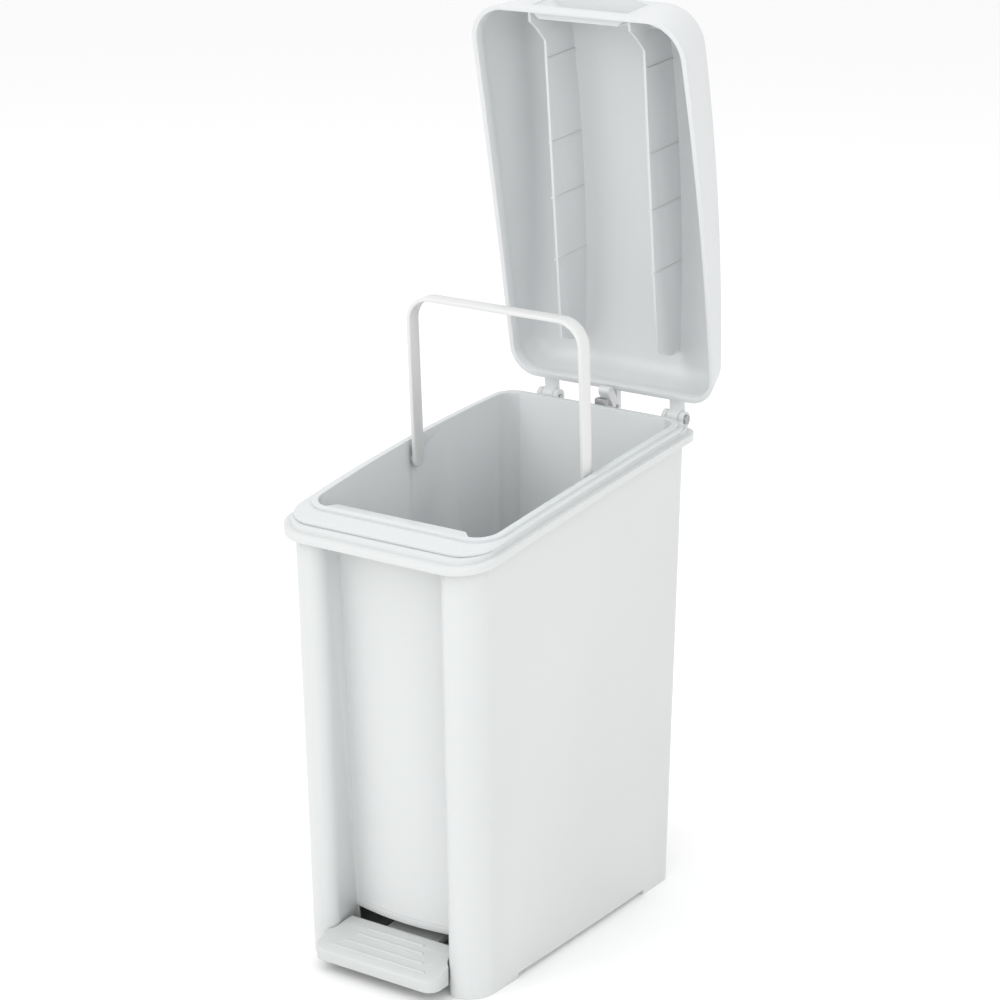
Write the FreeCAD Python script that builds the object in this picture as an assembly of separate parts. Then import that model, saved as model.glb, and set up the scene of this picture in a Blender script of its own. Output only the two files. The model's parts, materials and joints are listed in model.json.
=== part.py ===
import FreeCAD
import Part
import math
import os

V = FreeCAD.Vector
ACROSS = V(1, 0, 0)
UP = V(0, 0, 1)
FAR = 300.0

# Outer bin: sizes at the floor, then how much each wall leans out per mm of height.
bin_front = -143.5
bin_rear = 143.5
bin_mid_half = 86.5
bin_bow = 1.7
bin_end_half = bin_mid_half - bin_bow
bin_front_corner = 24.0
bin_rear_corner = 8.0
bin_front_lean = 0.026
bin_rear_lean = 0.02
bin_end_lean = 0.0095
bin_mid_lean = 0.0128
bin_wall = 2.4
bin_floor = 7.5

# The rim is an arc in side view: low at the front, high at the rear.
rim_rear_z = 399.0
rim_mid_drop = 12.5
rim_front_drop = 33.0
rim_mid_z = rim_rear_z - rim_mid_drop
rim_front_z = rim_rear_z - rim_front_drop
bead_reach = 3.1
bead_height = 4.2
flange_reach = 8.5
flange_drop = 10.2
flange_wall = 2.2

# Front of the bin: two round pillars and a set-back, bowed panel between them.
pocket_half = 55.0
pillar_round = 11.0
panel_foot_y = -109.5
panel_lean = 0.0557
panel_bow = 7.0
panel_edge_z = 36.0
panel_band = 6.0
panel_band_proud = 1.2
shelf_half = 52.0
shelf_inner_y = -136.0
shelf_height = 9.0
foot_lift = 4.5
lever_slot_half = 12.0
lever_slot_top = 52.0
rod_notch_half = 10.0
pocket_top = rim_rear_z + 21.0
front_foot_y = -86.0
rear_foot_y = 101.0

# Lid.
lid_open_angle = 84.6
hinge_y = 178.0
lid_gap = 0.5
lid_overhang = 2.0
lid_end_overhang = 3.0
lid_wall = 2.4
lid_band_wall = 4.0
lid_band_height = 7.0
lid_front_corner = 34.0
lid_rear_corner = 25.0
lid_side_lean = -0.27
lid_front_lean = -0.1
lid_rear_lean = -0.15
lid_edge_round = 19.0
crown_rise = 55.1
crown_z = rim_mid_z + crown_rise
crown_y = -5.0
crown_long_radius = 1063.0
crown_cross_radius = 700.0
lid_rib_x = 47.0
lid_rib_wall = 2.2
lid_rib_low_z = rim_mid_z + 4.5
grip_half = 57.0
grip_reach = 13.0
grip_plate = 3.4
grip_height = 38.0
scoop_half = 45.0
scoop_depth = 7.0
scoop_low = 5.5

# Lid hinge and crank.
knuckle_x = 62.0
knuckle_half = 5.5
knuckle_radius = 6.5
ear_wall = 4.0
side_play = 0.5
pin_radius = 2.5
pin_head_radius = 4.0
pin_head = 1.6
running_play = 0.05
crank_back = 16.5
crank_drop = 8.4
crank_radius = 4.0
crank_half = 5.0

# Inner bucket.
bucket_rear_play = 1.6
bucket_side_play = 0.6
bucket_front = -130.0
bucket_front_lean = 0.145
bucket_rear_lean = 0.02
bucket_side_lean = 0.02
bucket_front_corner = 20.0
bucket_rear_corner = 16.0
bucket_recess = 6.5
bucket_panel_play = 1.1
bucket_recess_half = pocket_half + bin_wall + bucket_panel_play + bucket_recess
bucket_bottom = 64.0
bucket_wall = 2.0
bucket_flange_reach = 7.0
bucket_lip_front = -151.0
bucket_flange = 2.2
bucket_bead_reach = 3.0
bucket_crest = 4.6
seat_gap = 0.3
bucket_rib_proud = 0.9
bucket_rib_half = 0.8

# Bail handle of the bucket.
bail_pivot_y = 14.0
bail_pivot_z = rim_mid_z - 10.5
bail_arm = 138.0
bail_width = 12.5
bail_wall = 3.2
bail_play = 0.47
bail_corner = 22.0
bail_lean = 3.0
stud_radius = 3.5

# Pedal, in its pressed place.
axle_y = -62.0
axle_z = 26.0
axle_radius = 3.0
lever_slope = 4.1
lever_plate = 4.0
lever_front_y = -145.0
lever_front_half = 25.0
lever_waist_y = -40.0
lever_rear_half = 9.0
lever_boss_radius = 7.0
saddle_wall = 8.0
tread_front = -165.0
tread_rear = -123.0
tread_front_half = 59.0
tread_rear_half = 50.5
tread_corner = 10.0
tread_bottom = 10.0
tread_wall = 2.5
pillar_play = 1.8
tread_ribs = [(-131.5, 27.0), (-139.0, 31.5), (-148.0, 38.0), (-156.0, 45.0)]
tread_rib_radius = 1.3

# Lift rod behind the bin.
rod_y = 161.5
rod_depth = 6.0
rod_half = 5.0
rod_eye_radius = 6.0
rod_pin_play = 0.9
rod_lost_motion = 1.0
rod_guide_play = 0.4
cover_half = 17.0
cover_depth = 29.0
cover_wall = 2.5
cover_bottom = 5.0
cover_top = rim_rear_z - 33.0
cover_tab_levels = [34.0, 205.0, cover_top - 26.0]
rod_guide_low = 90.0
rod_guide_high = cover_top - 36.0
screw_radius = 1.7
screw_head_radius = 3.4
screw_head = 1.8

SIDES = {"left": -1, "right": 1}


def circle_through(a, b, c):
    """Centre and radius of the circle through three (y, z) points."""
    arc = Part.Arc(V(0, *a), V(0, *b), V(0, *c)).toShape().Curve
    return arc.Center.y, arc.Center.z, arc.Radius


rim_front_y = bin_front - bin_front_lean * rim_front_z
rim_rear_y = bin_rear + bin_rear_lean * rim_rear_z
rim_circle = circle_through((rim_front_y, rim_front_z), (0.0, rim_mid_z), (rim_rear_y, rim_rear_z))
rim_slope = math.atan2(rim_rear_z - rim_front_z, rim_rear_y - rim_front_y)


def crest(y):
    """Height of the bin's rim at a place from front to rear."""
    centre_y, centre_z, radius = rim_circle
    return centre_z + math.sqrt(radius ** 2 - (y - centre_y) ** 2)


hinge_z = crest(rim_rear_y) - bead_height + 0.7
hinge_axis = V(0, hinge_y, hinge_z)
axle_axis = V(0, axle_y, axle_z)
bail_axis = V(0, bail_pivot_y, bail_pivot_z)


def box(x0, x1, y0, y1, z0, z1):
    return Part.makeBox(x1 - x0, y1 - y0, z1 - z0, V(x0, y0, z0))


def rod_x(y, z, radius, x0, x1):
    """A round bar along X."""
    return Part.makeCylinder(radius, x1 - x0, V(x0, y, z), ACROSS)


def prism_x(points, x0, x1):
    """A (y, z) outline pulled along X."""
    corners = [V(x0, y, z) for y, z in points]
    return Part.Face(Part.makePolygon(corners + corners[:1])).extrude(V(x1 - x0, 0, 0))


def prism_z(points, z0, z1):
    """An (x, y) outline pulled up."""
    corners = [V(x, y, z0) for x, y in points]
    return Part.Face(Part.makePolygon(corners + corners[:1])).extrude(V(0, 0, z1 - z0))


def both_sides(shape):
    return [shape, shape.mirror(V(0, 0, 0), ACROSS)]


def below_rim(offset):
    """Everything under the rim's arc moved up or down by an offset."""
    ends = [V(-FAR, y, crest(y) + offset) for y in (-FAR, 0.0, FAR)]
    low = [V(-FAR, FAR, -FAR), V(-FAR, -FAR, -FAR)]
    edges = [Part.Arc(*ends).toShape()]
    edges.append(Part.makeLine(ends[2], low[0]))
    edges.append(Part.makeLine(low[0], low[1]))
    edges.append(Part.makeLine(low[1], ends[0]))
    return Part.Face(Part.Wire(edges)).extrude(V(2 * FAR, 0, 0))


def rim_band(shape, low, high):
    """The slice of a shape between two offsets from the rim's arc."""
    return shape.common(below_rim(high)).cut(below_rim(low))


def barrel_wire(z, front, rear, end_half, mid_half, front_corner, rear_corner):
    """A level outline with straight ends, bowed sides and round corners."""
    bow = mid_half - end_half
    half_length = (rear - front) / 2
    side_radius = (half_length ** 2 + bow ** 2) / (2 * bow)
    middle_y = (front + rear) / 2
    side_centre = V(mid_half - side_radius, middle_y, z)

    def corner(radius, end_y, inward):
        centre_y = end_y + inward * radius
        reach = math.sqrt((side_radius - radius) ** 2 - (centre_y - middle_y) ** 2)
        centre = V(side_centre.x + reach, centre_y, z)
        on_end = V(centre.x, end_y, z)
        on_side = side_centre + (centre - side_centre) * (side_radius / (side_radius - radius))
        towards = (on_end - centre) + (on_side - centre)
        towards.normalize()
        return on_end, centre + towards * radius, on_side

    front_end, front_mid, front_side = corner(front_corner, front, 1)
    rear_end, rear_mid, rear_side = corner(rear_corner, rear, -1)
    right = [
        (front_end, front_mid, front_side),
        (front_side, V(mid_half, middle_y, z), rear_side),
        (rear_side, rear_mid, rear_end),
    ]
    left = [[V(-p.x, p.y, p.z) for p in reversed(arc)] for arc in reversed(right)]
    edges = [Part.makeLine(left[-1][-1], front_end)]
    edges += [Part.Arc(*arc).toShape() for arc in right]
    edges.append(Part.makeLine(rear_end, left[0][0]))
    edges += [Part.Arc(*arc).toShape() for arc in left]
    return Part.Wire(edges)


def barrel_block(form, low, high, inset=0.0):
    """A solid with leaning walls between two heights, all its walls moved in by the inset."""

    def outline(z):
        rise = z - form["level"]
        return barrel_wire(
            z,
            form["front"] - form["front_lean"] * rise + inset,
            form["rear"] + form["rear_lean"] * rise - inset,
            form["end_half"] + form["end_lean"] * rise - inset,
            form["mid_half"] + form["mid_lean"] * rise - inset,
            form["front_corner"] - inset,
            form["rear_corner"] - inset,
        )

    return Part.makeLoft([outline(low), outline(high)], True, True)


bin_form = {
    "level": 0.0,
    "front": bin_front,
    "rear": bin_rear,
    "end_half": bin_end_half,
    "mid_half": bin_mid_half,
    "front_corner": bin_front_corner,
    "rear_corner": bin_rear_corner,
    "front_lean": bin_front_lean,
    "rear_lean": bin_rear_lean,
    "end_lean": bin_end_lean,
    "mid_lean": bin_mid_lean,
}
bin_high = rim_rear_z + 20.0


def front_wall_y(z):
    return bin_front - bin_front_lean * z


def rear_wall_y(z):
    return bin_rear + bin_rear_lean * z


def panel_y(z):
    """Front face of the set-back panel at its side edges."""
    return panel_foot_y - panel_lean * (z - panel_edge_z)


def pocket(low, high, grow=0.0, forward=0.0):
    """The space between the pillars, in front of the panel, grown by a wall."""

    def outline(z):
        half = pocket_half + grow
        round_x = pocket_half + pillar_round
        round_y = front_wall_y(z) + pillar_round
        radius = pillar_round - grow
        slant = radius * math.sqrt(0.5)
        edge_y = panel_y(z) + grow - forward
        outer = V(round_x, -FAR, z)
        start = V(round_x, round_y - radius, z)
        middle = V(round_x - slant, round_y - slant, z)
        inner = V(half, round_y, z)
        deep = V(half, edge_y, z)
        bowed = V(0, edge_y - panel_bow, z)
        left = [V(-p.x, p.y, p.z) for p in (outer, start, middle, inner, deep)]
        edges = [
            Part.makeLine(outer, start),
            Part.Arc(start, middle, inner).toShape(),
            Part.makeLine(inner, deep),
            Part.Arc(deep, bowed, left[4]).toShape(),
            Part.makeLine(left[4], left[3]),
            Part.Arc(left[3], left[2], left[1]).toShape(),
            Part.makeLine(left[1], left[0]),
            Part.makeLine(left[0], outer),
        ]
        return Part.Wire(edges)

    return Part.makeLoft([outline(low), outline(high)], True, True)


def hinge_ear(x0, x1):
    """A plate from the rear wall out to the hinge axis."""
    plate = prism_x(
        [
            (rear_wall_y(hinge_z) - 1.0, hinge_z - 50.0),
            (hinge_y + knuckle_radius * 0.8, hinge_z - knuckle_radius * 0.7),
            (hinge_y - knuckle_radius * 0.7, hinge_z - 0.5),
            (rear_wall_y(hinge_z) - 1.0, hinge_z - flange_drop + bead_height),
        ],
        x0,
        x1,
    )
    return plate.fuse(rod_x(hinge_y, hinge_z, knuckle_radius, x0, x1))


def hinge_ears():
    inner = knuckle_x - knuckle_half - side_play
    outer = knuckle_x + knuckle_half + side_play
    ears = hinge_ear(inner - ear_wall, inner).fuse(hinge_ear(outer, outer + ear_wall))
    bore = rod_x(hinge_y, hinge_z, pin_radius, inner - ear_wall - 1, outer + ear_wall + 1)
    return ears.cut(bore)


def outer_bin():
    """Walls, rim, recessed panel, floor and hinge ears in one moulding."""
    block = barrel_block(bin_form, 0.0, bin_high)
    ceiling = below_rim(-shelf_height - bin_wall)
    body = block.cut(pocket(-10.0, pocket_top).common(ceiling)).common(below_rim(0.0))
    bead = barrel_block(bin_form, 0.0, bin_high, -bead_reach)
    ledge = barrel_block(bin_form, 0.0, bin_high, -flange_reach)
    under = barrel_block(bin_form, 0.0, bin_high, flange_wall - flange_reach).cut(block)
    under = rim_band(under, -flange_drop - 5, -bead_height - flange_wall)
    ledge = rim_band(ledge, -flange_drop, -bead_height).cut(under)
    body = body.fuse(rim_band(bead, -bead_height - 1, 0.0)).fuse(ledge)

    band_space = pocket(panel_edge_z, panel_edge_z + panel_band)
    band_space = band_space.cut(pocket(panel_edge_z - 1, panel_edge_z + panel_band + 1, 0, panel_band_proud))
    band_limit = box(-pocket_half, pocket_half, -FAR, panel_y(0), 0, FAR)
    body = body.fuse(band_space.common(band_limit))

    inside = barrel_block(bin_form, bin_floor, bin_high + 1, bin_wall)
    inside = inside.cut(pocket(-10.0, pocket_top, bin_wall))
    step = box(-shelf_half, shelf_half, shelf_inner_y, 0, 0, 2 * FAR)
    groove = box(-shelf_half, shelf_half, rim_front_y + bin_wall, shelf_inner_y - bin_wall, 0, 2 * FAR)
    mouth = box(-pocket_half + 1, pocket_half - 1, front_wall_y(0), panel_foot_y + 20, bin_floor, panel_edge_z)
    lift = box(-FAR, FAR, front_foot_y, rear_foot_y, -1, foot_lift)
    lever_slot = box(-lever_slot_half, lever_slot_half, bin_rear - 10, FAR, bin_floor + 0.5, lever_slot_top)
    notch_y = rear_wall_y(rim_rear_z) + 0.2
    rod_notch = box(-rod_notch_half, rod_notch_half, notch_y, FAR, rim_rear_z - 30, 2 * FAR)
    spaces = [rim_band(step, -shelf_height, 5.0), rim_band(groove, -flange_drop - bin_wall, -bin_wall)]
    for space in [inside] + spaces + [mouth, lift, lever_slot, rod_notch]:
        body = body.cut(space)
    return body.fuse(both_sides(hinge_ears())).removeSplitter()


def crown(inset=0.0):
    """The space under the lid's double-curved top."""
    top = crown_z - inset
    cross = crown_cross_radius - inset
    half = 150.0
    fall = cross - math.sqrt(cross ** 2 - half ** 2)
    depth = 200.0
    left = V(-half, crown_y, top - fall)
    right = V(half, crown_y, top - fall)
    edges = [
        Part.Arc(left, V(0, crown_y, top), right).toShape(),
        Part.makeLine(right, right - UP * depth),
        Part.makeLine(right - UP * depth, left - UP * depth),
        Part.makeLine(left - UP * depth, left),
    ]
    axis_at = V(0, crown_y, crown_z - crown_long_radius)
    face = Part.Face(Part.Wire(edges))
    swing = 14.0
    face.rotate(axis_at, ACROSS, -swing)
    return face.revolve(axis_at, ACROSS, 2 * swing)


lid_form = {
    "level": 0.0,
    "front": rim_front_y - flange_reach - lid_end_overhang,
    "rear": rim_rear_y + flange_reach + lid_end_overhang,
    "end_half": bin_end_half + bin_end_lean * rim_mid_z + flange_reach + lid_overhang,
    "mid_half": bin_mid_half + bin_mid_lean * rim_mid_z + flange_reach + lid_overhang,
    "front_corner": lid_front_corner,
    "rear_corner": lid_rear_corner,
    "front_lean": lid_front_lean,
    "rear_lean": lid_rear_lean,
    "end_lean": lid_side_lean,
    "mid_lean": lid_side_lean,
}


def lid_block(inset=0.0, low=-14.0):
    """The lid's skirt outline, leaning in as it rises, square to the sloping rim."""
    block = barrel_block(lid_form, low, 90.0, inset)
    block.rotate(V(0, 0, 0), ACROSS, math.degrees(rim_slope))
    middle = (rim_front_z + rim_rear_z) / 2
    block.translate(UP * middle)
    return block


def lid_body(inset):
    """The lid's skirt and crown as a solid, with the edge between them rounded."""
    body = lid_block(inset).common(crown(inset))
    top = max(body.Faces, key=lambda face: face.CenterOfMass.z)
    return body.makeFillet(lid_edge_round - inset, top.Edges)


def scoop(inset=0.0):
    """The finger space under the grip, cut into the front skirt."""
    front = lid_form["front"] + 2.0
    floor_y = front + scoop_depth + inset
    low = rim_front_z + scoop_low - inset
    high = rim_front_z + grip_height - grip_plate + inset
    flare = scoop_half + inset
    points = [(-flare - 8, front - 30), (flare + 8, front - 30), (flare, front)]
    points += [(flare - 10, floor_y), (-flare + 10, floor_y), (-flare, front)]
    return prism_z(points, low, high)


def grip():
    """The curved lip that stands out over the finger space."""
    front = lid_form["front"] + 4.5
    radius = (grip_half ** 2 + grip_reach ** 2) / (2 * grip_reach)
    low = rim_front_z + grip_height - grip_plate
    disc = Part.makeCylinder(radius, grip_plate, V(0, front - grip_reach + radius, low))
    lip = disc.common(box(-grip_half, grip_half, front - grip_reach - 1, front + 14, low, low + grip_plate))
    return lip


def lid_arm(x0, x1):
    """The arm from the lid's rear skirt to a hinge knuckle."""
    rear = lid_form["rear"]
    arm = box(x0, x1, rear - 4.0, hinge_y, hinge_z + 0.6, hinge_z + knuckle_radius)
    return arm.fuse(rod_x(hinge_y, hinge_z, knuckle_radius, x0, x1))


def lid_ribs():
    """Two deep stiffening ribs that run from front to rear inside the lid."""
    low = lid_rib_low_z
    edge_z = rim_front_z + 4.5
    outline = [
        (132.0, low + 24),
        (124.0, low + 3),
        (-130.0, low),
        (-143.0, low - 12),
        (-150.0, edge_z),
        (-175.0, edge_z),
        (-175.0, crown_z + 10),
        (132.0, crown_z + 10),
    ]
    half = lid_rib_wall / 2
    return both_sides(prism_x(outline, lid_rib_x - half, lid_rib_x + half))


def lid_closed():
    above_edge = -bead_height + lid_gap
    outside = lid_body(0.0).cut(scoop())
    inside = lid_body(lid_wall)
    hollow = inside.cut(scoop(lid_wall))
    shell = outside.cut(hollow)
    ribs = [rib.common(inside) for rib in lid_ribs()]
    band = rim_band(lid_block().cut(lid_block(lid_band_wall, -15.0)), above_edge, above_edge + lid_band_height)
    band = band.cut(scoop())
    shell = shell.fuse(ribs + [band, grip()]).cut(below_rim(above_edge))
    knuckles = both_sides(lid_arm(knuckle_x - knuckle_half, knuckle_x + knuckle_half))
    shell = shell.fuse(knuckles + [lid_arm(-crank_half, crank_half), crank_finger()])
    bore = pin_radius + running_play
    return shell.cut(rod_x(hinge_y, hinge_z, bore, -FAR, FAR)).removeSplitter()


def crank_finger():
    """The short finger that the lift rod pushes up."""
    nose_y = hinge_y - crank_back
    nose_z = hinge_z - crank_drop
    length = math.hypot(crank_back, crank_drop)
    bar = Part.makeBox(2 * crank_half, length, 2 * crank_radius, V(-crank_half, 0, -crank_radius))
    bar.rotate(V(0, 0, 0), ACROSS, math.degrees(math.atan2(crank_drop, crank_back)))
    bar.translate(V(0, nose_y, nose_z))
    return bar.fuse(rod_x(nose_y, nose_z, crank_radius, -crank_half, crank_half))


def hinge_pin():
    inner = knuckle_x - knuckle_half - side_play - ear_wall
    outer = knuckle_x + knuckle_half + side_play + ear_wall
    pin = rod_x(hinge_y, hinge_z, pin_radius, inner - 1, outer)
    return pin.fuse(rod_x(hinge_y, hinge_z, pin_head_radius, outer, outer + pin_head))


bucket_level = rim_mid_z
bucket_form = {
    "level": bucket_level,
    "front": bucket_front,
    "rear": rear_wall_y(bucket_level) - bin_wall - bucket_rear_play,
    "end_half": bin_end_half + bin_end_lean * bucket_level - bin_wall - bucket_side_play,
    "mid_half": bin_mid_half + bin_mid_lean * bucket_level - bin_wall - bucket_side_play,
    "front_corner": bucket_front_corner,
    "rear_corner": bucket_rear_corner,
    "front_lean": bucket_front_lean,
    "rear_lean": bucket_rear_lean,
    "end_lean": bucket_side_lean,
    "mid_lean": bucket_side_lean,
}
bucket_high = rim_rear_z + 25.0
bail_half = bucket_form["end_half"] - bucket_wall - bail_play


def bucket_face_y(z):
    """Front face of the bucket between its two corner columns."""
    return bucket_front - bucket_front_lean * (z - bucket_level) + bucket_recess


def bucket_recess_space(grow=0.0):
    """The shallow space in front of the bucket's middle."""

    def outline(z):
        face = bucket_face_y(z) + grow
        outer = bucket_recess_half + grow
        corners = [V(-outer, -FAR, z), V(outer, -FAR, z), V(outer, face - bucket_recess, z)]
        corners += [V(outer - bucket_recess, face, z), V(bucket_recess - outer, face, z)]
        corners.append(V(-outer, face - bucket_recess, z))
        return Part.makePolygon(corners + corners[:1])

    return Part.makeLoft([outline(bucket_bottom - 10), outline(bucket_high + 10)], True, True)


def bucket_ribs():
    """Thin upright ribs outside the bucket: one in front and two on each side."""
    ribs = []
    low = bucket_bottom + 20
    high = rim_front_z - 4
    for y in (-60.0, 100.0):
        proud = barrel_block(bucket_form, low, high, -bucket_rib_proud * 0.45)
        ribs.append(proud.common(box(-FAR, FAR, y - bucket_rib_half, y + bucket_rib_half, low, high)))
    face = [(bucket_face_y(z) + 1, z) for z in (low, high)]
    face += [(bucket_face_y(z) - bucket_rib_proud * 0.5, z) for z in (high, low)]
    ribs.append(prism_x(face, -bucket_rib_half, bucket_rib_half))
    return ribs


def inner_bucket():
    """A thin bucket with a two-step rim that hangs on the bin's rim."""
    block = barrel_block(bucket_form, bucket_bottom, bucket_high).cut(bucket_recess_space())
    body = block.common(below_rim(seat_gap + bucket_crest))
    bead = barrel_block(bucket_form, bucket_bottom, bucket_high, -bucket_bead_reach)
    lip_form = dict(bucket_form, front=bucket_lip_front + bucket_flange_reach, front_lean=0.0)
    flange = barrel_block(lip_form, bucket_bottom, bucket_high, -bucket_flange_reach)
    body = body.fuse(rim_band(bead, seat_gap, seat_gap + bucket_crest))
    body = body.fuse(rim_band(flange, seat_gap, seat_gap + bucket_flange))
    for rib in bucket_ribs():
        body = body.fuse(rib)
    inside = barrel_block(bucket_form, bucket_bottom + bucket_wall, bucket_high + 1, bucket_wall)
    inside = inside.cut(bucket_recess_space(bucket_wall))
    pivot_hole = rod_x(bail_pivot_y, bail_pivot_z, stud_radius + running_play, -FAR, FAR)
    return body.cut(inside).cut(pivot_hole).removeSplitter()


def bail_handle():
    """A flat strip bent to an arch, with a stud at each end."""
    half_width = bail_width / 2

    def arch(half, top, corner):
        side = box(-half, half, -half_width, half_width, 0, top)
        edges = [e for e in side.Edges if e.Length > 2 * half_width - 0.01 and e.BoundBox.YLength > half_width]
        upper = [e for e in edges if e.BoundBox.ZMin > top - 1 and e.BoundBox.XLength < 1]
        return side.makeFillet(corner, upper)

    outer = arch(bail_half, bail_arm + bail_wall / 2, bail_corner)
    inner = arch(bail_half - bail_wall, bail_arm - bail_wall / 2, bail_corner - bail_wall)
    strip = outer.cut(inner)
    wall_half = bucket_form["mid_half"] - bucket_side_lean * (bucket_level - bail_pivot_z)
    for side in both_sides(rod_x(0, 0, half_width, bail_half - bail_wall, bail_half)):
        strip = strip.fuse(side)
    for stud in both_sides(rod_x(0, 0, stud_radius, bail_half - 0.5, wall_half - 0.2)):
        strip = strip.fuse(stud)
    strip.rotate(V(0, 0, 0), ACROSS, bail_lean)
    strip.translate(bail_axis)
    return strip.removeSplitter()


def tread_outline(inset=0.0):
    """Level outline of the tread: wide in front of the pillars, narrower between them."""
    front = tread_front + inset
    rear = tread_rear - inset
    half = tread_front_half - inset
    corner = tread_corner - inset
    round_x = pocket_half + pillar_round
    round_y = front_wall_y(tread_bottom) + pillar_round
    reach = pillar_round + pillar_play + inset
    side_y = round_y - math.sqrt(reach ** 2 - (round_x - half) ** 2)
    waist_x = round_x - reach
    lean = math.radians(25)
    bend = V(round_x - reach * math.cos(lean), round_y - reach * math.sin(lean), 0)
    diagonal = corner * math.sqrt(0.5)
    front_corner = V(half - corner + diagonal, front + corner - diagonal, 0)
    right = [
        Part.Arc(V(half - corner, front, 0), front_corner, V(half, front + corner, 0)).toShape(),
        Part.makeLine(V(half, front + corner, 0), V(half, side_y, 0)),
        Part.Arc(V(half, side_y, 0), bend, V(waist_x, round_y, 0)).toShape(),
        Part.makeLine(V(waist_x, round_y, 0), V(tread_rear_half - inset, rear, 0)),
    ]
    left = [edge.mirror(V(0, 0, 0), ACROSS) for edge in reversed(right)]
    joins = [
        Part.makeLine(V(tread_rear_half - inset, rear, 0), V(inset - tread_rear_half, rear, 0)),
        Part.makeLine(V(corner - half, front, 0), V(half - corner, front, 0)),
    ]
    edges = right + [joins[0]] + left + [joins[1]]
    return Part.Face(Part.Wire(Part.sortEdges(edges)[0]))


def tread_space(drop=0.0):
    """The space under the tread's sloping top."""
    profile = [(tread_front - 1, 17.0), (tread_front + 1.2, 19.0), (tread_front + 3.5, 20.0)]
    profile += [(-131.5, 30.0), (-126.5, 31.4), (tread_rear + 2, 32.4)]
    top = [(y, z - drop) for y, z in profile]
    return prism_x(top + [(tread_rear + 2, 0.0), (tread_front - 1, 0.0)], -FAR, FAR)


def tread_top_z(y):
    return 20.0 + (y - tread_front - 3.5) * 10.0 / 30.0


def lever_z(y):
    """Middle of the lever plate."""
    return axle_z + (y - axle_y) * math.tan(math.radians(lever_slope))


screw_spots = [(x, y) for x in (-14.0, 14.0) for y in (-138.0, -130.0)]


def pedal_tread():
    height = 40.0
    solid = tread_outline().extrude(UP * height)
    solid.translate(UP * tread_bottom)
    solid = solid.common(tread_space())
    hollow = tread_outline(tread_wall).extrude(UP * height)
    hollow = hollow.common(tread_space(tread_wall))
    shell = solid.cut(hollow)
    shell = shell.cut(box(-lever_front_half - 1, lever_front_half + 1, tread_rear - 8, FAR, 0, 28))
    ribs = [rod_x(y, tread_top_z(y) - 0.4, tread_rib_radius, -half, half) for y, half in tread_ribs]
    under_lever = prism_x(lever_profile(FAR), -FAR, FAR)
    bosses = []
    for x, y in screw_spots:
        boss = Part.makeCylinder(3.2, tread_top_z(y) - 1 - lever_z(y), V(x, y, lever_z(y)))
        bosses.append(boss.cut(under_lever))
    shell = shell.fuse(ribs + bosses)
    for x, y in screw_spots:
        low = lever_z(y) - 10
        shell = shell.cut(Part.makeCylinder(screw_radius, tread_top_z(y) - tread_wall - low - 0.6, V(x, y, low)))
    return shell.removeSplitter()


def lever_profile(below=0.0):
    """Side outline of the lever plate, or of everything under its top."""
    half = lever_plate / 2
    front = lever_front_y
    rear = rod_y
    return [
        (front, lever_z(front) + half),
        (rear, lever_z(rear) + half),
        (rear, lever_z(rear) - half - below),
        (front, lever_z(front) - half - below),
    ]


def pedal_lever():
    """A plate with two edge ribs, wide under the tread and narrow towards the rod."""
    plan = [
        (lever_front_half, lever_front_y),
        (lever_front_half, axle_y + 10),
        (lever_rear_half, lever_waist_y),
        (lever_rear_half, FAR),
    ]
    plan += [(-x, y) for x, y in reversed(plan)]
    plate = prism_z(plan, -FAR, FAR).common(prism_x(lever_profile(), -FAR, FAR))
    rib_half = lever_plate / 2 + 2.0
    ends = (lever_waist_y - 6, rod_y)
    rib = [(y, lever_z(y) + rib_half) for y in ends] + [(y, lever_z(y) - rib_half) for y in reversed(ends)]
    ribs = both_sides(prism_x(rib, lever_rear_half - 3, lever_rear_half))
    boss = rod_x(axle_y, axle_z, lever_boss_radius, -lever_front_half, lever_front_half)
    end_z = lever_z(rod_y)
    eyes = both_sides(rod_x(rod_y, end_z, rod_eye_radius, lever_rear_half - 3, lever_rear_half))
    lever = plate.fuse(ribs + [boss] + eyes)
    slot = box(-rod_half - 0.6, rod_half + 0.6, rod_y - rod_eye_radius - 4, FAR, end_z - 20, end_z + 20)
    axle_bore = rod_x(axle_y, axle_z, axle_radius + running_play, -FAR, FAR)
    pin_bore = rod_x(rod_y, end_z, pin_radius, -FAR, FAR)
    lever = lever.cut([slot, axle_bore, pin_bore])
    for x, y in screw_spots:
        lever = lever.cut(Part.makeCylinder(screw_radius, 20, V(x, y, lever_z(y) - 10)))
    return lever.removeSplitter()


def screw(length):
    """A pan-head screw that points up, its head's upper face at the origin."""
    shank = Part.makeCylinder(screw_radius, length, V(0, 0, 0))
    return shank.fuse(Part.makeCylinder(screw_head_radius, screw_head, V(0, 0, -screw_head)))


def tread_screws():
    screws = []
    for x, y in screw_spots:
        one = screw(tread_top_z(y) - tread_wall - lever_z(y) + 0.8)
        one.translate(V(x, y, lever_z(y) - lever_plate / 2 - 0.45))
        screws.append(one)
    return Part.makeCompound(screws)


saddle_inner = lever_front_half + 1.0
saddle_screw_places = (axle_y - 14, axle_y + 14)


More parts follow.
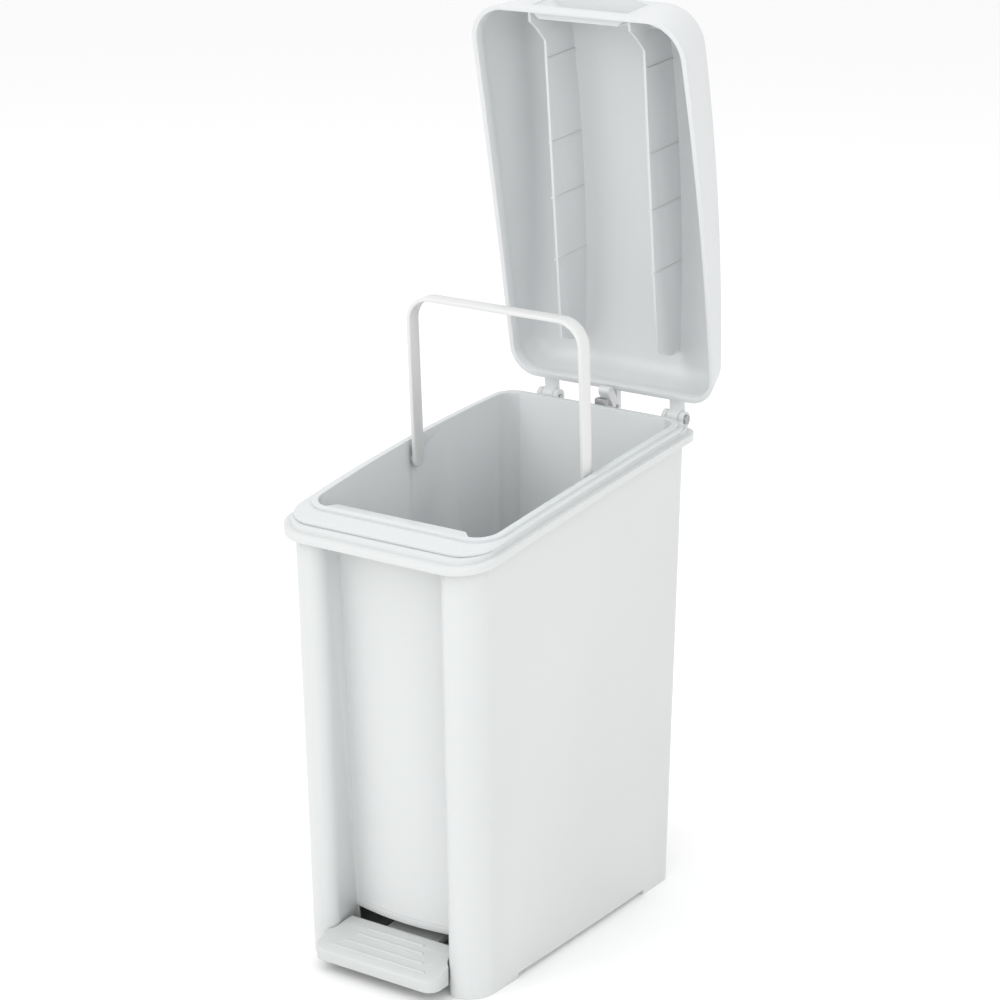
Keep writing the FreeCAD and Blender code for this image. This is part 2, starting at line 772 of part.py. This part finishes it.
def axle_saddle():
    """A block that stands on the bin's floor and holds one end of the axle."""
    foot = box(saddle_inner, saddle_inner + saddle_wall, axle_y - 17, axle_y + 17, bin_floor, bin_floor + 3)
    post = prism_x(
        [
            (axle_y - 11, bin_floor),
            (axle_y + 11, bin_floor),
            (axle_y + 6, axle_z + 3),
            (axle_y - 6, axle_z + 3),
        ],
        saddle_inner,
        saddle_inner + saddle_wall,
    )
    cap = rod_x(axle_y, axle_z, 7.0, saddle_inner, saddle_inner + saddle_wall)
    saddle = foot.fuse([post, cap]).cut(rod_x(axle_y, axle_z, axle_radius, -FAR, FAR))
    for y in saddle_screw_places:
        saddle = saddle.cut(Part.makeCylinder(screw_radius, 12, V(saddle_inner + saddle_wall / 2, y, bin_floor - 6)))
    return saddle.removeSplitter()


def saddle_screws():
    screws = []
    middle = saddle_inner + saddle_wall / 2
    for x in (-middle, middle):
        for y in saddle_screw_places:
            one = screw(2.9)
            one.rotate(V(0, 0, 0), ACROSS, 180)
            one.translate(V(x, y, bin_floor + 3))
            screws.append(one)
    return Part.makeCompound(screws)


axle_end = saddle_inner + saddle_wall + 3.0


def pedal_axle():
    return rod_x(axle_y, axle_z, axle_radius, -axle_end, axle_end)


def axle_clip():
    x0 = saddle_inner + saddle_wall
    ring = rod_x(axle_y, axle_z, axle_radius + 2.5, x0, x0 + 1.4)
    ring = ring.cut(rod_x(axle_y, axle_z, axle_radius, x0 - 1, x0 + 3))
    return ring.cut(box(x0 - 1, x0 + 3, axle_y - 1.6, axle_y + 1.6, axle_z, axle_z + 20))


def crank_nose(angle):
    """Lowest point of the crank's nose at an opening angle of the lid."""
    turn = math.radians(angle)
    return hinge_z + crank_back * math.sin(turn) - crank_drop * math.cos(turn) - crank_radius


rod_travel = crank_nose(lid_open_angle) - crank_nose(0.0)
lever_arm = rod_y - axle_y
pedal_travel = math.degrees(rod_travel / lever_arm)
rod_top = crank_nose(lid_open_angle) - rod_lost_motion


def lift_rod():
    """A square rod with an eye for the lever's pin."""
    end_z = lever_z(rod_y)
    front = rod_y - rod_depth / 2
    bar = box(-rod_half, rod_half, front, front + rod_depth, end_z, rod_top)
    bar = bar.fuse(rod_x(rod_y, end_z, rod_eye_radius, -rod_half, rod_half))
    return bar.cut(rod_x(rod_y, end_z, pin_radius + rod_pin_play, -FAR, FAR)).removeSplitter()


def rod_hole(z0, z1):
    front = rod_y - rod_depth / 2
    play = rod_guide_play
    return box(-rod_half - play, rod_half + play, front - play, front + rod_depth + play, z0, z1)


def lever_pin():
    end_z = lever_z(rod_y)
    pin = rod_x(rod_y, end_z, pin_radius, -lever_rear_half, lever_rear_half)
    return pin.fuse(rod_x(rod_y, end_z, pin_head_radius, lever_rear_half, lever_rear_half + pin_head))


def bin_outside():
    return barrel_block(bin_form, -20.0, bin_high)


def rear_cover():
    """A U-shaped cover over the lift rod, with tabs against the rear wall."""
    rear = bin_rear + cover_depth
    body = box(-cover_half, cover_half, bin_rear - 20, rear, cover_bottom, cover_top)
    edges = [e for e in body.Edges if e.BoundBox.ZLength > 100 and e.BoundBox.YMin > bin_rear]
    body = body.makeFillet(5.0, edges)
    inner = cover_half - cover_wall
    body = body.cut(box(-inner, inner, 0, rear - cover_wall, cover_bottom - 1, cover_top - cover_wall))
    tabs = []
    for z in cover_tab_levels:
        tabs.append(box(-cover_half - 10, cover_half + 10, bin_rear - 20, rear_wall_y(z) + cover_wall, z - 6, z + 6))
    body = body.fuse(tabs)
    body = body.cut(box(-inner, inner, 0, rear - cover_wall, cover_bottom - 1, cover_top - cover_wall))
    body = body.cut([bin_outside(), rod_hole(cover_top - 20, cover_top + 20)])
    for x, z in cover_screw_spots():
        body = body.cut(Part.makeCylinder(screw_radius, 60, V(x, bin_rear - 20, z), V(0, 1, 0)))
    return body.removeSplitter()


def cover_screw_spots():
    return [(x, z) for z in cover_tab_levels for x in (-cover_half - 5.5, cover_half + 5.5)]


def rear_cover_screws():
    screws = []
    for x, z in cover_screw_spots():
        one = screw(cover_wall - 0.1)
        one.rotate(V(0, 0, 0), ACROSS, 90)
        one.translate(V(x, rear_wall_y(z) + cover_wall, z))
        screws.append(one)
    return Part.makeCompound(screws)


def rod_guide(z):
    """A block on the rear wall with a square hole for the rod."""
    inner = cover_half - cover_wall
    rear = bin_rear + cover_depth - cover_wall
    block = box(-inner + 0.5, inner - 0.5, bin_rear - 10, rear - 0.5, z, z + 8)
    return block.cut([bin_outside(), rod_hole(z - 1, z + 9)])


def turned(shape, centre, angle):
    copy = shape.copy()
    copy.rotate(centre, ACROSS, angle)
    return copy


def build():
    nodes = {
        "outer_bin": outer_bin(),
        "rear_cover": rear_cover(),
        "rear_cover_screws": rear_cover_screws(),
        "rod_guide_upper": rod_guide(rod_guide_high),
        "rod_guide_lower": rod_guide(rod_guide_low),
        "saddle_screws": saddle_screws(),
        "pedal_axle": pedal_axle(),
        "pedal_tread": pedal_tread(),
        "pedal_lever": pedal_lever(),
        "tread_screws": tread_screws(),
        "lever_pin": lever_pin(),
        "lift_rod": lift_rod(),
        "lid": turned(lid_closed(), hinge_axis, -lid_open_angle),
        "inner_bucket": inner_bucket(),
        "bail_handle": bail_handle(),
    }
    for side, sign in SIDES.items():
        pieces = {
            "hinge_pin": hinge_pin(),
            "axle_saddle": axle_saddle(),
            "axle_clip": axle_clip(),
        }
        for name, shape in pieces.items():
            nodes[f"{name}_{side}"] = shape if sign > 0 else shape.mirror(V(0, 0, 0), ACROSS)
    return nodes


def centred(nodes):
    """Move every piece so that the origin is under the middle of the whole object."""
    boxes = [nodes[name].optimalBoundingBox(False) for name in ("outer_bin", "pedal_tread", "lid")]
    shift = V(0, -(min(b.YMin for b in boxes) + max(b.YMax for b in boxes)) / 2, 0)
    for shape in nodes.values():
        shape.translate(shift)
    return shift


nodes = build()
shift = centred(nodes)
os.makedirs("parts", exist_ok=True)
for name, shape in nodes.items():
    shape.exportStep(f"parts/{name}.step")
    print(f"{name}: solids {len(shape.Solids)}, volume {shape.Volume / 1000:.1f} cm3, valid {shape.isValid()}")

points = {"hinge": hinge_axis, "axle": axle_axis, "bail": bail_axis, "foot": V(70, -125, 0)}
for name, point in points.items():
    place = (point + shift) * 0.001
    print(f"{name}: {place.x:.5f} {place.y:.5f} {place.z:.5f} m")
print(f"rod travel {rod_travel:.3f} mm, pedal travel {pedal_travel:.3f} degrees")
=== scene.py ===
import json
import math

import bmesh
import bpy
from mathutils import Matrix, Vector


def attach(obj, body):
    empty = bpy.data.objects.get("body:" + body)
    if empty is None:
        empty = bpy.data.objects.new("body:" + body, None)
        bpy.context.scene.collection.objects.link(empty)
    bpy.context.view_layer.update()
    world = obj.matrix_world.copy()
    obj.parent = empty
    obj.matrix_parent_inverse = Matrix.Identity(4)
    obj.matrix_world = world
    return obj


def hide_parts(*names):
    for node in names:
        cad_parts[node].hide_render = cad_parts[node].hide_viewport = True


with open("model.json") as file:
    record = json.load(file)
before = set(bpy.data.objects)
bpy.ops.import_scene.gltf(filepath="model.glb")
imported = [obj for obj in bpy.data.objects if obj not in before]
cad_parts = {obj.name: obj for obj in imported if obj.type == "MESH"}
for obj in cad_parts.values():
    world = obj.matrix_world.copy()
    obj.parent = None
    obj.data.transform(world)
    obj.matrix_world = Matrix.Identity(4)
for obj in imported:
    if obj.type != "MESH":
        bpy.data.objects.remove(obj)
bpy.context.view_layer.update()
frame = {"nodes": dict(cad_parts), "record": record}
behaviour = frame["record"]["behaviour"]
joints = {joint["name"]: joint for joint in behaviour["joints"]}
bodyOf = {node: body for body, members in behaviour["bodies"].items() for node in members}

slots = {part["node"]: part["material_slot"] for part in frame["record"]["subparts"]}

camera = {
    "place": (1.2613, -1.8375, 1.0540),
    "back": (0.54196, -0.78504, 0.29998),
    "lens": 105.05,
    "sensor": 36.0,
}
# each CAD piece that gets rounded edges: its new name, finish, and the edge's width in metres
softening = {
    "outer_bin": ("binShell", "bin_plastic", 0.0007),
    "lid": ("lidShell", "lid_plastic", 0.0007),
    "inner_bucket": ("bucketShell", "bucket_plastic", 0.0006),
    "bail_handle": ("bailStrip", "bail_plastic", 0.0005),
    "pedal_tread": ("treadShell", "pedal_plastic", 0.0006),
    "pedal_lever": ("leverPlate", "pedal_plastic", 0.0005),
    "rear_cover": ("coverShell", "bin_plastic", 0.0006),
    "lift_rod": ("liftRod", "steel", 0.0004),
}
rounded = {"mergeWithin": 0.00001, "flatWithin": 0.6, "sharpBeyond": 38, "shadeBreak": 42, "segments": 2}
# injection-moulded polypropylene: an even satin sheen, a little light let in at the edges
plastics = {
    "bin_plastic": {"colour": "CFD1D1", "rough": 0.36, "grain": 2600.0, "bump": 0.035, "glow": 0.06},
    "lid_plastic": {"colour": "D2D4D5", "rough": 0.40, "grain": 2600.0, "bump": 0.035, "glow": 0.06},
    "bucket_plastic": {"colour": "CFD2D3", "rough": 0.24, "grain": 1400.0, "bump": 0.015, "glow": 0.12},
    "bail_plastic": {"colour": "D6D7D6", "rough": 0.34, "grain": 2200.0, "bump": 0.02, "glow": 0.06},
    "pedal_plastic": {"colour": "C6C9C8", "rough": 0.42, "grain": 2400.0, "bump": 0.04, "glow": 0.04},
}
plasticBody = {
    "ior": 1.49,
    "cloudScale": 9.0,
    "sweepScale": 38.0,
    "shadeDip": 0.97,
    "roughSpread": 0.05,
    "reliefDepth": 0.0003,
    "scatter": (0.9, 1.0, 1.0),
    "scatterDepth": 0.003,
}
# zinc-plated mild steel: grey, with faint drawn streaks along its length
steelLook = {
    "dark": "9A9C9E",
    "pale": "B4B6B7",
    "roughLow": 0.28,
    "roughHigh": 0.42,
    "stretch": (900.0, 900.0, 60.0),
}
ribLines = {
    "places": (0.293, 0.223, 0.176, 0.123),
    "ribX": 0.047,
    "ribHalf": 0.0011,
    "proud": 0.0008,
    "half": 0.0007,
    "rise": 0.018,
    "height": 0.044,
    "edge": 0.0003,
}
stage = {"floorHalf": 12.0, "floorColour": "FBFBFB", "floorRough": 0.7, "skyStrength": 0.97}
# each lamp: where it stands, what it points at, its two sides in metres, and its watts
lamps = {
    "key": ((-1.6, -2.2, 2.6), (0, 0, 0.3), (2.2, 2.2), 30.0),
    "fill": ((2.6, -1.2, 1.6), (0, 0, 0.3), (2.0, 2.0), 12.0),
    "front": ((1.0, -2.9, 1.3), (0, 0, 0.4), (1.6, 1.6), 12.0),
    "top": ((0.2, 0.4, 3.2), (0, 0, 0.3), (2.4, 2.4), 12.0),
}


def linear(hexColour):
    channels = [int(hexColour[i : i + 2], 16) / 255 for i in (0, 2, 4)]
    return [c / 12.92 if c <= 0.04045 else ((c + 0.055) / 1.055) ** 2.4 for c in channels] + [1.0]


def addNode(tree, kind, **values):
    node = tree.nodes.new(kind)
    for key, value in values.items():
        if key in node.inputs:
            node.inputs[key].default_value = value
        else:
            setattr(node, key, value)
    return node


def mouldedPlastic(name, colour, rough, grain, bump, glow):
    # faint clouds of tint, patches of sheen, and a fine grain from the mould
    material = bpy.data.materials.new(name)
    material.use_nodes = True
    tree = material.node_tree
    link = tree.links.new
    shader = tree.nodes["Principled BSDF"]
    place = addNode(tree, "ShaderNodeTexCoord")
    cloud = addNode(tree, "ShaderNodeTexNoise", Scale=plasticBody["cloudScale"], Detail=3.0)
    fine = addNode(tree, "ShaderNodeTexNoise", Scale=grain, Detail=2.0)
    sweep = addNode(tree, "ShaderNodeTexNoise", Scale=plasticBody["sweepScale"], Detail=4.0)
    for texture in (cloud, fine, sweep):
        link(place.outputs["Object"], texture.inputs["Vector"])
    tint = addNode(tree, "ShaderNodeMix", data_type="RGBA")
    base = linear(colour)
    tint.inputs["A"].default_value = [c * plasticBody["shadeDip"] for c in base[:3]] + [1.0]
    tint.inputs["B"].default_value = base
    link(cloud.outputs["Fac"], tint.inputs["Factor"])
    link(tint.outputs["Result"], shader.inputs["Base Color"])
    spread = addNode(tree, "ShaderNodeMapRange")
    spread.inputs["To Min"].default_value = rough - plasticBody["roughSpread"]
    spread.inputs["To Max"].default_value = rough + plasticBody["roughSpread"]
    link(sweep.outputs["Fac"], spread.inputs["Value"])
    link(spread.outputs["Result"], shader.inputs["Roughness"])
    relief = addNode(tree, "ShaderNodeBump", Strength=bump, Distance=plasticBody["reliefDepth"])
    link(fine.outputs["Fac"], relief.inputs["Height"])
    link(relief.outputs["Normal"], shader.inputs["Normal"])
    shader.inputs["Subsurface Weight"].default_value = glow
    shader.inputs["Subsurface Radius"].default_value = plasticBody["scatter"]
    shader.inputs["Subsurface Scale"].default_value = plasticBody["scatterDepth"]
    shader.inputs["IOR"].default_value = plasticBody["ior"]
    return material


def zincSteel():
    material = bpy.data.materials.new("zincPlatedSteel")
    material.use_nodes = True
    tree = material.node_tree
    link = tree.links.new
    shader = tree.nodes["Principled BSDF"]
    shader.inputs["Metallic"].default_value = 1.0
    place = addNode(tree, "ShaderNodeTexCoord")
    stretch = addNode(tree, "ShaderNodeMapping")
    stretch.inputs["Scale"].default_value = steelLook["stretch"]
    streak = addNode(tree, "ShaderNodeTexNoise", Scale=1.0, Detail=3.0)
    link(place.outputs["Object"], stretch.inputs["Vector"])
    link(stretch.outputs["Vector"], streak.inputs["Vector"])
    tint = addNode(tree, "ShaderNodeMix", data_type="RGBA")
    tint.inputs["A"].default_value = linear(steelLook["dark"])
    tint.inputs["B"].default_value = linear(steelLook["pale"])
    link(streak.outputs["Fac"], tint.inputs["Factor"])
    link(tint.outputs["Result"], shader.inputs["Base Color"])
    spread = addNode(tree, "ShaderNodeMapRange")
    spread.inputs["To Min"].default_value = steelLook["roughLow"]
    spread.inputs["To Max"].default_value = steelLook["roughHigh"]
    link(streak.outputs["Fac"], spread.inputs["Value"])
    link(spread.outputs["Result"], shader.inputs["Roughness"])
    return material


materials = {slot: mouldedPlastic(slot.replace("_p", "P"), **look) for slot, look in plastics.items()}
materials["steel"] = zincSteel()


def finishPiece(piece, slot):
    piece.data.materials.clear()
    piece.data.materials.append(materials[slot])


# turns a piece's modifiers into plain mesh
def applyAll(piece):
    view = bpy.context.evaluated_depsgraph_get()
    made = bpy.data.meshes.new_from_object(piece.evaluated_get(view))
    piece.modifiers.clear()
    piece.data = made


# a copy of a moulded piece with its sharp edges rounded, as they leave the mould
def softened(node, name, slot, width):
    source = frame["nodes"][node]
    mesh = bmesh.new()
    mesh.from_mesh(source.data)
    bmesh.ops.remove_doubles(mesh, verts=mesh.verts, dist=rounded["mergeWithin"])
    flatWithin = math.radians(rounded["flatWithin"])
    bmesh.ops.dissolve_limit(mesh, angle_limit=flatWithin, verts=mesh.verts, edges=mesh.edges)
    data = bpy.data.meshes.new(name)
    mesh.to_mesh(data)
    mesh.free()
    piece = bpy.data.objects.new(name, data)
    bpy.context.collection.objects.link(piece)
    rounding = piece.modifiers.new("rounding", "BEVEL")
    rounding.width = width
    rounding.segments = rounded["segments"]
    rounding.limit_method = "ANGLE"
    rounding.angle_limit = math.radians(rounded["sharpBeyond"])
    applyAll(piece)
    for face in piece.data.polygons:
        face.use_smooth = True
    piece.data.set_sharp_from_angle(angle=math.radians(rounded["shadeBreak"]))
    finishPiece(piece, slot)
    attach(piece, bodyOf[node])
    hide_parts(node)


# thin raised lines across the two ribs inside the lid, where the mould's inserts meet
def ribBeads():
    hinge = Vector(joints["lid_hinge"]["pos_m"])
    opening = math.radians(joints["lid_hinge"]["range_deg"][1])
    opened = Matrix.Translation(hinge) @ Matrix.Rotation(-opening, 4, "X") @ Matrix.Translation(-hinge)
    mesh = bmesh.new()
    for side in (-1, 1):
        for reach in ribLines["places"]:
            place = hinge + Vector((side * ribLines["ribX"], -reach, ribLines["rise"]))
            wide = 2 * (ribLines["ribHalf"] + ribLines["proud"])
            size = Matrix.Diagonal((wide, 2 * ribLines["half"], ribLines["height"], 1.0))
            bmesh.ops.create_cube(mesh, size=1.0, matrix=opened @ Matrix.Translation(place) @ size)
    edges = mesh.edges[:]
    bmesh.ops.bevel(mesh, geom=edges, offset=ribLines["edge"], segments=2, affect="EDGES", profile=0.5)
    data = bpy.data.meshes.new("ribBeads")
    mesh.to_mesh(data)
    mesh.free()
    piece = bpy.data.objects.new("ribBeads", data)
    bpy.context.collection.objects.link(piece)
    finishPiece(piece, "lid_plastic")
    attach(piece, "lid")


def makeCamera():
    data = bpy.data.cameras.new("camera")
    data.lens = camera["lens"]
    data.sensor_width = camera["sensor"]
    data.clip_end = 20.0
    view = bpy.data.objects.new("camera", data)
    bpy.context.collection.objects.link(view)
    view.rotation_mode = "QUATERNION"
    view.location = camera["place"]
    view.rotation_quaternion = (-Vector(camera["back"])).to_track_quat("-Z", "Y")
    bpy.context.scene.camera = view


def softLight(name, place, target, size, watts):
    data = bpy.data.lights.new(name, "AREA")
    data.shape = "RECTANGLE"
    data.size, data.size_y = size
    data.energy = watts
    lamp = bpy.data.objects.new(name, data)
    bpy.context.collection.objects.link(lamp)
    lamp.location = place
    lamp.rotation_mode = "QUATERNION"
    lamp.rotation_quaternion = (Vector(target) - Vector(place)).to_track_quat("-Z", "Y")


def makeStage():
    mesh = bmesh.new()
    bmesh.ops.create_grid(mesh, x_segments=1, y_segments=1, size=stage["floorHalf"])
    data = bpy.data.meshes.new("floor")
    mesh.to_mesh(data)
    mesh.free()
    floor = bpy.data.objects.new("floor", data)
    bpy.context.collection.objects.link(floor)
    material = bpy.data.materials.new("paleFloor")
    material.use_nodes = True
    shader = material.node_tree.nodes["Principled BSDF"]
    shader.inputs["Base Color"].default_value = linear(stage["floorColour"])
    shader.inputs["Roughness"].default_value = stage["floorRough"]
    floor.data.materials.append(material)
    world = bpy.data.worlds.new("studio")
    world.use_nodes = True
    sky = world.node_tree.nodes["Background"]
    sky.inputs["Color"].default_value = (1.0, 1.0, 1.0, 1.0)
    sky.inputs["Strength"].default_value = stage["skyStrength"]
    bpy.context.scene.world = world
    bpy.context.scene.view_settings.view_transform = "Standard"
    for name, (place, target, size, watts) in lamps.items():
        softLight(name, place, target, size, watts)


makeCamera()
makeStage()
print("stage made")
for node, (name, slot, width) in softening.items():
    softened(node, name, slot, width)
    print("softened", name)
for node, piece in frame["nodes"].items():
    if node not in softening:
        finishPiece(piece, slots[node])
print("materials set")
ribBeads()
print("rib beads made")
